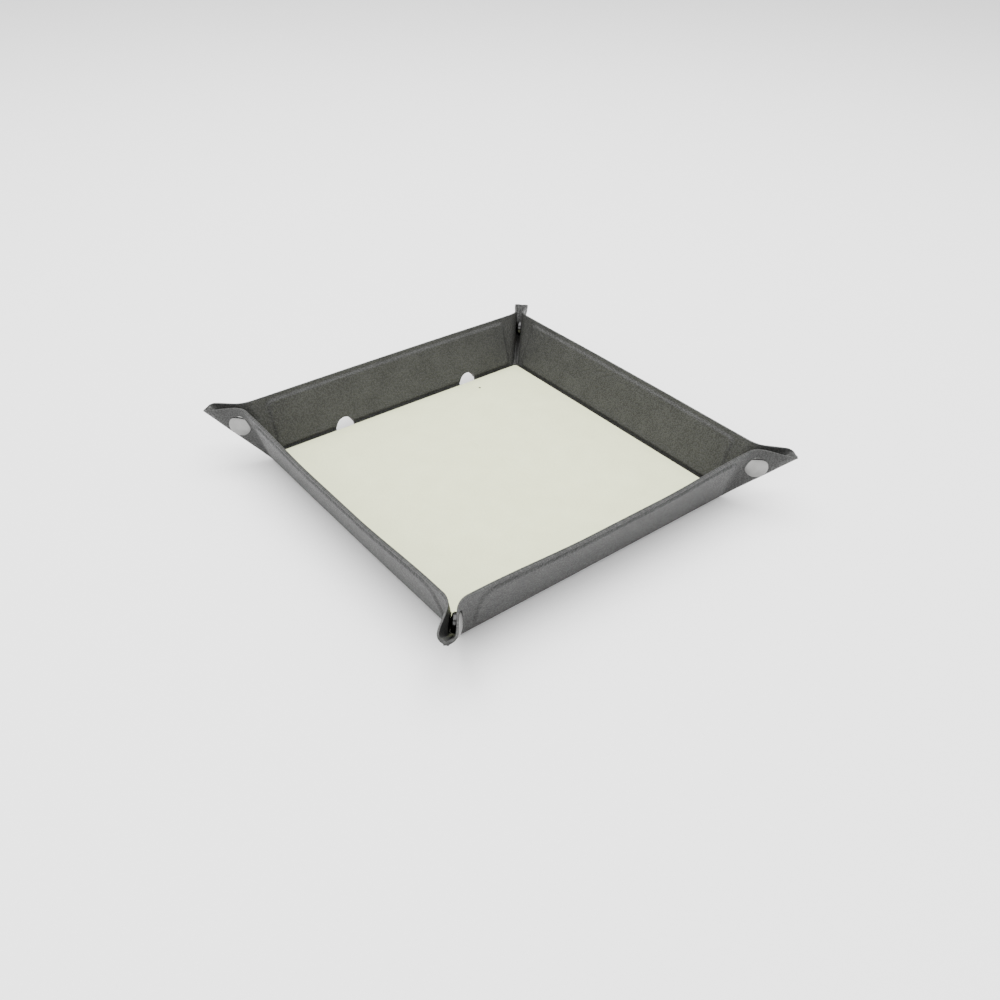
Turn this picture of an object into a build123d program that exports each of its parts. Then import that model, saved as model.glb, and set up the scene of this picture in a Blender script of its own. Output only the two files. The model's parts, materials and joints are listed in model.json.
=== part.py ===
from build123d import *
from math import asin, atan2, cos, degrees, pi, radians, sin, sqrt, tan
import os

# A snap-corner leather tray with a wireless charger under its floor.
# Millimetres, +Z up, origin under the middle of the base on the desk.
# The back wall is at +Y. The tray is modelled snapped up, as it is used.

# ---- tray sheet -------------------------------------------------------------
flat_size = 250.0          # edge of the opened tray, rim to rim
base_size = 180.0          # between opposite fold lines
wall_angle = 72.0          # of each wall above the base, when snapped
corner_radius = 10.0       # of the opened tray's four corners
cover_thick = 0.8          # outer leather
lining_thick = 0.8         # inner leather
board_thick = 1.0          # stiffener between them
fin_thick = 1.0            # skived leather of the pinched corners
fin_gap = 3.2              # between the two layers of a snapped corner

fold_gap = 1.4             # from a fold line to the leather on each side of it
base_corner_radius = 2.0
base_bevel = 0.3
crease_gap = 1.2           # from a corner crease to the leather on each side
fin_start = 8.0            # the corner leather starts this far from the base corner

# ---- wall stiffener panels --------------------------------------------------
panel_from_end = 5.0       # from the ends of the fold line
panel_from_fold = 3.5
panel_from_rim = 5.0
panel_radius = 3.0

# ---- corner fold ------------------------------------------------------------
keel_width = 4.4           # leather under the two layers of a corner
keel_start = 9.0           # from the base corner
keel_from_tip = 3.4

# ---- cable holes, in the back wall across its fold --------------------------
hole_diameter = 12.5
hole_above_fold = 2.3
cable_hole_from_side = 47.0     # from the pad's -X side

# ---- corner snaps -----------------------------------------------------------
cap_diameter = 12.5
cap_from_diagonal = 2.8    # from the cap's edge to the sheet's diagonal
cap_from_crease = 0.1
cap_height = 1.4
cap_bevel = 0.9
socket_diameter = 9.6
socket_floor = 0.5
socket_clearance = 0.4     # between the socket and the stud's flange
stud_diameter = 9.0
stud_flange = 0.4
knob_diameter = 4.2
knob_side_clearance = 0.8  # in the socket, where the spring grips
knob_end_clearance = 0.3
neck_diameter = 3.6
post_diameter = 3.0
tube_diameter = 2.2        # of the eyelet, inside the stud
tube_bore = 1.0
post_clearance = 0.1       # radial, in the leather
rivet_diameter = 4.2
rivet_height = 0.3
back_diameter = 8.6
back_height = 0.6
snap_edge = 0.4            # small bevel on the snap's parts

# ---- floor pad --------------------------------------------------------------
pad_from_fold = 2.0
pad_corner_radius = 1.5
pad_skin_thick = 0.7
pressed_line_x = 10.0      # a pressed line that marks off the charging side
pressed_line_length = 106.0
pressed_line_width = 0.5
pressed_line_depth = 0.15

# ---- charger module ---------------------------------------------------------
module_width = 68.0
module_from_side = 4.0     # from the pad's +X side
module_past_coil = 19.0    # in front of the ferrite sheet
module_wall = 0.8
module_floor = 0.4
module_lid_thick = 0.5
module_fit = 0.2           # around the module, in the pad core
coil_y = 5.0
coil_outer = 46.0
coil_inner = 20.0
coil_thick = 1.4
coil_turns = 10
coil_groove = 0.1          # between turns, as a share of their spacing
ferrite_size = 52.0
ferrite_thick = 0.8
foam_size = 54.0
foam_thick = 0.6
sheet_radius = 3.0         # corners of the ferrite and the foam
board_width = 44.0
board_length = 32.0
board_from_mouth = 4.0     # behind the module's back edge
circuit_thick = 0.8
boss_height = 1.1
boss_diameter = 3.0
screw_diameter = 1.2
screw_fit = 0.03           # radial, in the boss
screw_end_clearance = 0.1
screw_hole = 1.6
screw_head = 2.6
screw_head_height = 0.6
screw_inset = 3.0
usb_width = 8.9
usb_height = 3.0
usb_length = 7.3
usb_wall = 0.3
usb_back_thick = 1.0
usb_fit = 0.15             # at the sides
usb_headroom = 0.05        # above and below
tongue_width = 6.7
tongue_thick = 0.7
tongue_length = 5.0
led_from_mouth = 10.8
led_width = 1.6
led_length = 0.8
led_height = 0.6
pipe_diameter = 1.4
pipe_fit = 0.05
pipe_clearance = 0.1       # above the lamp
pipe_recess = 0.05         # below the pad's surface

# ---- worked out -------------------------------------------------------------
fold = base_size / 2
wall_slant = (flat_size - base_size) / 2
fold_height = board_thick / 2 + cover_thick
sheet_lean = radians(wall_angle)
# The crease beside a corner leans out by this much from the wall's end, so that
# both walls' creases meet in the corner's upright plane.
crease_lean = asin(1 / sqrt(2 + tan(sheet_lean) ** 2))
fin_angle = degrees(pi / 2 - asin(sin(sheet_lean) / sqrt(2)))
layer_offset = (fin_gap + fin_thick) / 2
crease_offset = layer_offset / sin(radians(fin_angle))
crease_rise = degrees(asin(sqrt(1 - 2 * sin(crease_lean) ** 2)))
keel_rise = crease_rise - 45 + degrees(crease_lean)
turn_length = pi * layer_offset / 2
keel_end = wall_slant * sqrt(2) - corner_radius * (sqrt(2) - 1) - keel_from_tip
panel_length = base_size - 2 * panel_from_end
snap_from_diagonal = cap_diameter / 2 + cap_from_diagonal
snap_from_crease = cap_diameter / 2 + cap_from_crease
# along the sheet's diagonal from the base corner, where the cap just clears the crease
snap_along = (
    sqrt(2) * (snap_from_crease - crease_offset)
    + snap_from_diagonal * (cos(crease_lean) + sin(crease_lean))
) / (cos(crease_lean) - sin(crease_lean))
socket_height = fin_gap - stud_flange - socket_clearance
socket_bore = knob_diameter + 2 * knob_side_clearance
knob_height = fin_gap - stud_flange - socket_floor - rivet_height - knob_end_clearance
pad_size = base_size - 2 * pad_from_fold
pad_core_thick = module_floor + usb_height + 2 * usb_headroom + module_lid_thick
pad_bottom = cover_thick
core_top = pad_bottom + pad_core_thick
pad_top_height = core_top + pad_skin_thick
module_x = pad_size / 2 - module_from_side - module_width / 2
cable_hole_x = cable_hole_from_side - pad_size / 2
module_back = pad_size / 2
module_front = coil_y - ferrite_size / 2 - module_past_coil
module_length = module_back - module_front
led_y = module_back - led_from_mouth
tray_floor = pad_bottom + module_floor
tray_top = core_top - module_lid_thick
circuit_bottom = tray_floor + boss_height
circuit_top = circuit_bottom + circuit_thick
circuit_back = module_back - board_from_mouth
circuit_middle = circuit_back - board_length / 2

os.makedirs("parts", exist_ok=True)


def save(name, *solids):
    """Writes one node: one solid, or a group of like solids."""
    shape = solids[0] if len(solids) == 1 else Compound(children=list(solids))
    export_step(shape, f"parts/{name}.step")


def block(width, length, low, high, x=0.0, y=0.0, radius=0.0):
    """A plate of that size between two heights, with rounded upright corners."""
    outline = RectangleRounded(width, length, radius) if radius else Rectangle(width, length)
    return Pos(x, y, low) * extrude(outline, high - low)


def rod(diameter, low, high, x=0.0, y=0.0):
    """An upright cylinder between two heights."""
    return Pos(x, y, low) * extrude(Circle(diameter / 2), high - low)


# ---- folding the flat sheet up ----------------------------------------------
wall_fold = Axis((0, fold, fold_height), (1, 0, 0))
crease_start = fold - crease_offset / cos(crease_lean)
crease = Axis((crease_start, fold, fold_height), (sin(crease_lean), cos(crease_lean), 0))
wall_turns = {"back": 0, "left": 90, "front": 180, "right": 270}


def raise_wall(shape, wall):
    """A piece of the back wall, drawn flat, stood up and turned to its own side."""
    return shape.rotate(wall_fold, wall_angle).rotate(Axis.Z, wall_turns[wall])


def raise_fin(shape, wall, end):
    """A piece of the corner at the back wall's +X end, drawn flat, folded up."""
    folded = shape.rotate(crease, fin_angle).rotate(wall_fold, wall_angle)
    if end == "a":
        folded = mirror(folded, about=Plane.YZ)
    return folded.rotate(Axis.Z, wall_turns[wall])


def flat_sheet(low, high):
    """The whole opened tray between two heights."""
    return block(flat_size, flat_size, low, high, radius=corner_radius)


def wall_outline(low, high):
    """The flat back wall, from its fold to its rim, between its two corner creases."""
    setback = (crease_offset + crease_gap) / cos(crease_lean)
    near = fold - setback + fold_gap * tan(crease_lean)
    far = fold - setback + wall_slant * tan(crease_lean)
    corners = [
        (-near, fold + fold_gap),
        (near, fold + fold_gap),
        (far, fold + wall_slant),
        (-far, fold + wall_slant),
    ]
    return Pos(0, 0, low) * extrude(make_face(Polyline(*corners, close=True)), high - low)


def panel(low, high, length=panel_length):
    """The stiffener's area on the flat back wall."""
    height = wall_slant - panel_from_fold - panel_from_rim
    middle = fold + panel_from_fold + height / 2
    return block(length, height, low, high, y=middle, radius=panel_radius)


def cable_cuts(diameter=hole_diameter):
    """The two punched cable holes, through everything at the back fold."""
    height = flat_size / 10
    cuts = [
        rod(diameter, -height, height, x, fold + hole_above_fold)
        for x in (cable_hole_x, module_x)
    ]
    return cuts[0] + cuts[1]


# ---- four walls: outer leather, stiffener, lining ---------------------------
mid = fold_height
half_board = board_thick / 2
outer_skin = wall_outline(mid - cover_thick, mid) - panel(mid - cover_thick, mid)
outer_skin += panel(mid - half_board - cover_thick, mid - half_board)
inner_skin = wall_outline(mid, mid + lining_thick) - panel(mid, mid + lining_thick)
inner_skin += panel(mid + half_board, mid + half_board + lining_thick)
stiffener = panel(mid - half_board, mid + half_board)

for wall in wall_turns:
    for name, piece in (("cover", outer_skin), ("lining", inner_skin), ("stiffener", stiffener)):
        if wall == "back":
            piece = piece - cable_cuts()
        save(f"{wall}_wall_{name}", raise_wall(piece, wall))

# ---- eight corner layers, two at each corner --------------------------------
snap_x = fold + (snap_along - snap_from_diagonal) / sqrt(2)
snap_y = fold + (snap_along + snap_from_diagonal) / sqrt(2)


def fin_layer():
    """One triangular layer of a pinched corner, drawn flat beside the back wall."""
    reach = 2 * wall_slant
    lean = Vector(sin(crease_lean), cos(crease_lean))
    across = Vector(cos(crease_lean), -sin(crease_lean))
    diagonal = Vector(1, 1).normalized()
    start = Vector(crease_start, fold) + across * crease_gap
    turn_start = Vector(fold, fold) + Vector(-1, 1).normalized() * turn_length
    # where the crease side meets the start of the bottom turn
    along = (turn_start - start).cross(diagonal).Z / lean.cross(diagonal).Z
    apex = start + lean * along
    wedge = make_face(Polyline(apex, apex + lean * reach, apex + diagonal * reach, close=True))
    low = mid - fin_thick / 2
    layer = Pos(0, 0, low) * extrude(wedge, fin_thick)
    layer = layer & flat_sheet(low, low + fin_thick)
    layer -= rod(2 * fin_start, low, low + fin_thick, fold, fold)
    layer -= rod(post_diameter + 2 * post_clearance, low, low + fin_thick, snap_x, snap_y)
    return layer


fin = fin_layer()
fin_ends = {(wall, end) for wall in wall_turns for end in "ab"}
for wall, end in sorted(fin_ends):
    save(f"{wall}_fin_{end}", raise_fin(fin, wall, end))

# ---- keel of each corner: the leather that joins its two layers underneath ---
corner_turns = {"back_right": 0, "back_left": 90, "front_left": 180, "front_right": 270}
keel_length = keel_end - keel_start
keel_middle = (keel_start + keel_end) / 2
for corner, turn in corner_turns.items():
    keel = Pos(keel_middle, 0, 0) * Box(keel_length, keel_width, fin_thick)
    keel = keel.rotate(Axis.Y, -keel_rise).rotate(Axis.Z, 45)
    keel = Pos(fold, fold, fold_height) * keel
    save(f"{corner}_keel", keel.rotate(Axis.Z, turn))

# ---- four corner snaps ------------------------------------------------------
inner_face = mid + fin_thick / 2
outer_face = mid - fin_thick / 2


def revolved(points):
    """A turned piece on the snap's centre line; points are (radius, height)."""
    profile = make_face(Polyline(*[(r, 0, z) for r, z in points], close=True))
    return Pos(snap_x, snap_y, 0) * revolve(profile, Axis.Z)


def snap_cap():
    """Domed cap on the outside, with its hollow post riveted over in the socket."""
    bottom = outer_face - cap_height
    rivet_low = inner_face + socket_floor
    radius = cap_diameter / 2
    return revolved(
        [
            (0, bottom),
            (radius - cap_bevel, bottom + cap_height / 4),
            (radius, outer_face - cap_height / 4),
            (radius - cap_bevel / 3, outer_face),
            (post_diameter / 2, outer_face),
            (post_diameter / 2, rivet_low),
            (rivet_diameter / 2, rivet_low),
            (rivet_diameter / 2 - rivet_height, rivet_low + rivet_height),
            (0, rivet_low + rivet_height),
        ]
    )


def snap_socket():
    """Spring socket on the inner face, open towards the other layer."""
    body = rod(socket_diameter, inner_face, inner_face + socket_height, snap_x, snap_y)
    body = chamfer(body.edges().group_by(Axis.Z)[-1], snap_edge)
    body -= rod(post_diameter, inner_face, inner_face + socket_floor, snap_x, snap_y)
    mouth = inner_face + socket_floor
    return body - rod(socket_bore, mouth, inner_face + socket_height, snap_x, snap_y)


def snap_stud():
    """Stud on the inner face of the other layer: a flange and a necked knob."""
    flange_top = inner_face + stud_flange
    knob_top = flange_top + knob_height
    neck_top = flange_top + knob_height / 3
    knob_radius = knob_diameter / 2
    return revolved(
        [
            (tube_diameter / 2, inner_face),
            (stud_diameter / 2, inner_face),
            (stud_diameter / 2, flange_top),
            (neck_diameter / 2, flange_top),
            (neck_diameter / 2, neck_top),
            (knob_radius, neck_top + knob_radius - neck_diameter / 2),
            (knob_radius, knob_top - snap_edge),
            (knob_radius - snap_edge, knob_top),
            (tube_diameter / 2, knob_top),
        ]
    )


def snap_back():
    """Eyelet on the outside of the stud's layer, its tube inside the stud."""
    bottom = outer_face - back_height
    tube_top = inner_face + stud_flange + knob_height - rivet_height
    return revolved(
        [
            (tube_bore / 2, bottom + back_height / 3),
            (tube_diameter / 2, bottom),
            (back_diameter / 2 - snap_edge, bottom + back_height / 6),
            (back_diameter / 2, outer_face),
            (tube_diameter / 2, outer_face),
            (tube_diameter / 2, tube_top),
            (tube_bore / 2, tube_top),
        ]
    )


# Each corner's snap: the layer that carries the cap and the one with the stud.
snaps = {
    "back_left": (("left", "b"), ("back", "a")),
    "front_left": (("front", "b"), ("left", "a")),
    "front_right": (("front", "a"), ("right", "b")),
    "back_right": (("right", "a"), ("back", "b")),
}
for corner, (cap_side, stud_side) in snaps.items():
    save(f"{corner}_snap_cap", raise_fin(snap_cap(), *cap_side))
    save(f"{corner}_snap_socket", raise_fin(snap_socket(), *cap_side))
    save(f"{corner}_snap_stud", raise_fin(snap_stud(), *stud_side))
    save(f"{corner}_snap_back", raise_fin(snap_back(), *stud_side))

# ---- base leather -----------------------------------------------------------
base_cover_size = base_size - 2 * fold_gap
base_cover = block(base_cover_size, base_cover_size, 0, cover_thick, radius=base_corner_radius)
base_cover = chamfer(base_cover.edges().group_by(Axis.Z)[0], base_bevel)
save("base_cover", base_cover - cable_cuts())

# ---- floor pad: core board and cream leather skin ---------------------------
window_width = module_width + 2 * module_fit
window = block(
    window_width,
    module_length + module_fit,
    pad_bottom,
    core_top,
    module_x,
    module_back - (module_length + module_fit) / 2,
)
core = block(pad_size, pad_size, pad_bottom, core_top, radius=pad_corner_radius)
save("pad_core", core - window)

skin = block(pad_size, pad_size, core_top, pad_top_height, radius=pad_corner_radius)
skin -= rod(pipe_diameter + 2 * pipe_fit, core_top, pad_top_height, module_x, led_y)
skin -= block(
    pressed_line_width,
    pressed_line_length,
    pad_top_height - pressed_line_depth,
    pad_top_height,
    pressed_line_x,
)
save("pad_skin", skin)

# ---- charger module: case ---------------------------------------------------
module_middle = (module_back + module_front) / 2
tray = block(module_width, module_length, pad_bottom, tray_top, module_x, module_middle)
tray -= block(
    module_width - 2 * module_wall,
    module_length - 2 * module_wall,
    tray_floor,
    tray_top,
    module_x,
    module_middle,
)
socket_opening = block(
    usb_width + 2 * usb_fit,
    4 * module_wall,
    tray_floor,
    tray_top,
    module_x,
    module_back,
)
tray -= socket_opening
screw_x = board_width / 2 - screw_inset
screw_y = board_length / 2 - screw_inset
screw_places = [
    (module_x + i * screw_x, circuit_middle + j * screw_y)
    for i in (-1, 1)
    for j in (-1, 1)
]
for x, y in screw_places:
    tray += rod(boss_diameter, tray_floor, circuit_bottom, x, y)
    tray -= rod(screw_diameter + 2 * screw_fit, tray_floor, circuit_bottom, x, y)
save("charger_case", tray)

lid = block(module_width, module_length, tray_top, core_top, module_x, module_middle)
lid -= rod(pipe_diameter + 2 * pipe_fit, tray_top, core_top, module_x, led_y)
save("charger_lid", lid)

# ---- charger module: coil on its ferrite and foam ---------------------------
foam_top = tray_floor + foam_thick
ferrite_top = foam_top + ferrite_thick
foam = block(foam_size, foam_size, tray_floor, foam_top, module_x, coil_y, sheet_radius)
ferrite = block(ferrite_size, ferrite_size, foam_top, ferrite_top, module_x, coil_y, sheet_radius)
save("coil_foam", foam)
save("ferrite_sheet", ferrite)


def wound_coil():
    """A flat coil: rings of wire side by side on a thin bonded layer."""
    pitch = (coil_outer - coil_inner) / 2 / coil_turns
    groove = coil_groove * pitch
    bonded_top = ferrite_top + coil_thick / 2
    coil_top = ferrite_top + coil_thick
    coil = rod(coil_outer, ferrite_top, bonded_top, module_x, coil_y)
    for turn in range(coil_turns):
        outside = coil_outer - 2 * turn * pitch
        inside = outside - 2 * pitch
        wire = rod(outside - groove, bonded_top, coil_top, module_x, coil_y)
        wire -= rod(inside + groove, bonded_top, coil_top, module_x, coil_y)
        coil += wire
    return coil - rod(coil_inner, ferrite_top, coil_top, module_x, coil_y)


save("charging_coil", wound_coil())

# ---- charger module: circuit board ------------------------------------------
circuit = block(board_width, board_length, circuit_bottom, circuit_top, module_x, circuit_middle)
notch = block(
    usb_width + 2 * usb_fit,
    2 * (circuit_back - module_back + usb_length) + 2 * usb_fit,
    circuit_bottom,
    circuit_top,
    module_x,
    circuit_back,
)
circuit -= notch
for x, y in screw_places:
    circuit -= rod(screw_hole, circuit_bottom, circuit_top, x, y)
save("circuit_board", circuit)

screws = []
for x, y in screw_places:
    shank = rod(screw_diameter, tray_floor + screw_end_clearance, circuit_top, x, y)
    screws.append(shank + rod(screw_head, circuit_top, circuit_top + screw_head_height, x, y))
save("board_screws", *screws)

chips = [
    block(width, length, circuit_top, circuit_top + height, module_x + x, circuit_middle + y)
    for width, length, height, x, y in (
        (5.0, 5.0, 0.9, 0.0, -6.0),
        (3.3, 3.3, 0.9, -9.0, -6.0),
        (3.3, 3.3, 0.9, 9.0, -6.0),
        (4.0, 4.0, 1.0, -10.0, 4.0),
        (3.2, 1.6, 1.0, 10.0, 2.0),
        (3.2, 1.6, 1.0, 10.0, 5.0),
        (3.2, 1.6, 1.0, 10.0, 8.0),
    )
]
save("board_components", *chips)

# ---- charger module: socket, status lamp and its light pipe -----------------
usb_middle = (tray_floor + tray_top) / 2


def lozenge(width, height, length, y):
    """A round-ended bar along Y, the section of the charging socket."""
    bar = extrude(SlotOverall(width, height), length)
    return Pos(module_x, y, usb_middle) * Rot(90, 0, 0) * bar


usb_shell = lozenge(usb_width, usb_height, usb_length, module_back)
usb_shell -= lozenge(
    usb_width - 2 * usb_wall,
    usb_height - 2 * usb_wall,
    usb_length - usb_back_thick,
    module_back,
)
save("usb_c_shell", usb_shell)

tongue_back = module_back - usb_length + usb_back_thick
tongue = block(
    tongue_width,
    tongue_length,
    usb_middle - tongue_thick / 2,
    usb_middle + tongue_thick / 2,
    module_x,
    tongue_back + tongue_length / 2,
)
save("usb_c_tongue", tongue)

led_top = circuit_top + led_height
pipe_low = led_top + pipe_clearance
save("status_led", block(led_width, led_length, circuit_top, led_top, module_x, led_y))
save("light_pipe", rod(pipe_diameter, pipe_low, pad_top_height - pipe_recess, module_x, led_y))
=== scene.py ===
import functools
import json
import math

import bmesh
import bpy
import numpy as np
from mathutils import Matrix, Vector


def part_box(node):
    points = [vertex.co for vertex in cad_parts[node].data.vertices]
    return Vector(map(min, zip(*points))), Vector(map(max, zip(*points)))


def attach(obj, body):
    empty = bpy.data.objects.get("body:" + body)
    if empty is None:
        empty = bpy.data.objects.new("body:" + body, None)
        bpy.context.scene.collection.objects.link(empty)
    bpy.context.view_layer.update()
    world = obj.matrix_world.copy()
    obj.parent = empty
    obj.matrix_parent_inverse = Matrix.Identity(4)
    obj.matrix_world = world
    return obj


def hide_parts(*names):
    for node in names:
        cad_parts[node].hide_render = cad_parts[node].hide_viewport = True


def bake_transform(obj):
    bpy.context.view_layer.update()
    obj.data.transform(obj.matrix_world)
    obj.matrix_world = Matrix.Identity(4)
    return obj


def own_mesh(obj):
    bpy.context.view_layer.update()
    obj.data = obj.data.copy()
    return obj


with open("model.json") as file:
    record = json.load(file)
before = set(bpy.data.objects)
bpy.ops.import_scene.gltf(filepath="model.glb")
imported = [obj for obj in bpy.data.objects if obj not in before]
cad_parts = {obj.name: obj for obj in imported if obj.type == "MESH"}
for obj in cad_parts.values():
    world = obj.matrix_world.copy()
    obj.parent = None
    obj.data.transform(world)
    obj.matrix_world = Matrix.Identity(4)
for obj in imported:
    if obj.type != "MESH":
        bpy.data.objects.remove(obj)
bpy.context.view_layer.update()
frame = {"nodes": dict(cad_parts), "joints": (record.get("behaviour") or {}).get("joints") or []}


# ---- Leather of the four walls ----------------------------------------------
# One square sheet of grey pebbled leather, an outer cover glued to a lining. In
# each wall the two close over a stiff board, whose edges press an outline into
# both faces. The wall is folded up along the base, and its rim is cut and dyed.
mm = 0.001
joints = {joint["name"]: joint for joint in frame["joints"]}
_, fold, fold_height = joints["back_wall_fold"]["pos_m"]
wall_angle = math.radians(joints["back_wall_fold"]["range_deg"][1])
pinch_angle = math.radians(joints["back_fin_b_fold"]["range_deg"][1])
keel_angle = math.radians(joints["back_right_keel_fold"]["range_deg"][1])

wall_slant = 35 * mm
ply = 0.8 * mm
fold_reach = 1.8 * mm           # the fold starts and ends this far from its line
layer_offset = 2.1 * mm         # a corner layer's middle, from the corner's upright plane
crease_lean = math.asin(1 / math.sqrt(2 + math.tan(wall_angle) ** 2))
lean, upright = math.sin(crease_lean), math.cos(crease_lean)
crease_start = fold - layer_offset / math.sin(pinch_angle) / upright
crease_length = wall_slant / upright
crease_reach = (1.5 * mm, 5.0 * mm)     # half the width of the bend, at the base and the rim
seam_margin = 0.5 * mm

board_end = 85 * mm
board_low = 3.5 * mm
board_high = 32.8 * mm
board_corners = {"inner": 3 * mm, "outer": 7 * mm}
board_lift = 0.85 * mm
board_slope = 2.2 * mm          # over which the leather comes down off the board
slope_foot = 0.4 * mm           # outside the board, where that slope ends
groove_depth = 0.4 * mm
groove_width = 0.55 * mm
groove_inside = 0.2 * mm        # the board's edge
wall_bow = {"back": 1.6, "left": 2.6, "front": 2.8, "right": 1.8}   # degrees, leaning out
bow_ends = 62 * mm              # of each wall, over which the bow comes in
glue_line = 0.16                # share of the rim's thickness between the two leathers
edge_bulge = 0.22               # of a cut edge, as a share of half its thickness

hole_radius = 6.25 * mm
hole_above_fold = 2.3 * mm
walls = {"back": 0, "left": 90, "front": 180, "right": 270}


def smooth(value):
    """A soft step from 0 to 1."""
    value = np.clip(value, 0, 1)
    return value * value * (3 - 2 * value)


def bend(distance, reach, angle):
    """How far along and across a rounded fold a point of the sheet comes to lie."""
    turned = angle * np.clip((distance + reach) / (2 * reach), 0, 1)
    radius = reach / np.tan(angle / 2)
    beyond = np.maximum(distance - reach, 0)
    rounded = -reach + radius * np.sin(turned) + beyond * np.cos(angle)
    along = np.where(distance < -reach, distance, rounded)
    return along, radius * (1 - np.cos(turned)) + beyond * np.sin(angle)


def stand_up(x, s, bow=0):
    """The middle of the back wall's leather, for x along the wall and s from its fold."""
    lean_out = math.radians(bow) * smooth((board_end - np.abs(x)) / bow_ends)
    along, up = bend(s, fold_reach, wall_angle - lean_out)
    return np.stack([x, fold + along, fold_height + up], axis=-1)


def seam_x(s):
    """Where the wall's leather ends and the corner layer's begins, at its +X end."""
    low, high = crease_reach[0] + seam_margin, crease_reach[1] + seam_margin
    s_low, x_low = low * lean, crease_start - low * upright
    s_high = crease_length * upright + high * lean
    x_high = crease_start + crease_length * lean - high * upright
    return x_low + (s - s_low) * (x_high - x_low) / (s_high - s_low)


def outside_board(x, s, corner):
    """Distance outside the outline of the board in the wall."""
    dx = np.abs(x) - board_end + corner
    ds = np.abs(s - (board_low + board_high) / 2) - (board_high - board_low) / 2 + corner
    outside = np.hypot(np.maximum(dx, 0), np.maximum(ds, 0))
    return outside + np.minimum(np.maximum(dx, ds), 0) - corner


def over_board(x, s, face):
    """Height of the wall's inner or outer face above the middle of the sheet."""
    out = outside_board(x, s, board_corners[face])
    height = ply + board_lift * smooth((slope_foot - out) / board_slope)
    if face == "outer":
        height = height - groove_depth * np.exp(-((out + groove_inside) / groove_width) ** 2)
    return height


def cut_edge(plies):
    """A cut edge, from the inner face (1) to the outer (-1): how far it stands out, and its height."""
    lowest = glue_line if plies == 2 else -1.0
    shares = (0.0, 0.1, 0.5, 0.9, 1.0)
    bulges = [edge_bulge * math.sin(math.pi * share) ** 0.5 for share in shares]
    heights = [1.0 - share * (1.0 - lowest) for share in shares]
    profile = list(zip(bulges, heights))
    if plies == 2:
        profile += [(bulge, -height) for bulge, height in profile[::-1]]
    return profile


def steps(start, end, step, places=(), near=0.0, fine=0.0):
    """Values from start to end, closer together near some places."""
    values = [start]
    while values[-1] < end:
        close = any(abs(values[-1] + fine - place) < near for place in places)
        values.append(values[-1] + (fine if close else step))
    values[-1] = end
    if len(values) > 2 and values[-1] - values[-2] < 0.05 * mm:
        values.pop(-2)
    return np.array(values)


def flat_leather(name, x, s, h, edge_rows=None):
    """A closed sheet, drawn flat: x, s and h hold one ring of points for each column.
    edge_rows gives the material number of the rows along its cut edge."""
    edge_rows = edge_rows or {}
    columns, ring = x.shape
    faces, marks = [], []
    for i in range(columns - 1):
        for j in range(ring):
            k = (j + 1) % ring
            faces.append((i * ring + j, (i + 1) * ring + j, (i + 1) * ring + k, i * ring + k))
            marks.append(edge_rows.get(j, 0))
    for first in (0, (columns - 1) * ring):
        for j in range(ring // 2 - 1):
            faces.append((first + j, first + j + 1, first + ring - 2 - j, first + ring - 1 - j))
            marks.append(0)
    mesh = bpy.data.meshes.new(name)
    mesh.from_pydata(np.stack([x, s, h], axis=-1).reshape(-1, 3).tolist(), [], faces)
    mesh.polygons.foreach_set("material_index", marks)
    shape = bmesh.new()
    shape.from_mesh(mesh)
    bmesh.ops.remove_doubles(shape, verts=shape.verts, dist=1e-7)
    bmesh.ops.recalc_face_normals(shape, faces=shape.faces)
    shape.to_mesh(mesh)
    shape.free()
    return mesh


def punched(mesh, places, radius):
    """The flat mesh with round holes punched through it at those places."""
    punch_length = 20 * mm
    piece = bpy.data.objects.new(mesh.name, mesh)
    bpy.context.scene.collection.objects.link(piece)
    for number, (x, s) in enumerate(places):
        bpy.ops.mesh.primitive_cylinder_add(
            vertices=72, radius=radius, depth=punch_length, location=(x, s, 0)
        )
        punch = bpy.context.object
        cut = piece.modifiers.new(f"hole_{number}", "BOOLEAN")
        cut.operation = "DIFFERENCE"
        cut.object = punch
        cut.solver = "EXACT"
        punch.hide_render = True
    bpy.context.view_layer.update()
    evaluated = piece.evaluated_get(bpy.context.evaluated_depsgraph_get())
    result = bpy.data.meshes.new_from_object(evaluated)
    for cut in list(piece.modifiers):
        bpy.data.objects.remove(cut.object)
    bpy.data.objects.remove(piece)
    return result


def smooth_piece(name, mesh, sharp=35):
    """A piece with this mesh, smooth but for edges sharper than that many degrees."""
    mesh.polygons.foreach_set("use_smooth", [True] * len(mesh.polygons))
    mesh.set_sharp_from_angle(angle=math.radians(sharp))
    mesh.update()
    piece = bpy.data.objects.new(name, mesh)
    bpy.context.scene.collection.objects.link(piece)
    return piece


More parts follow.
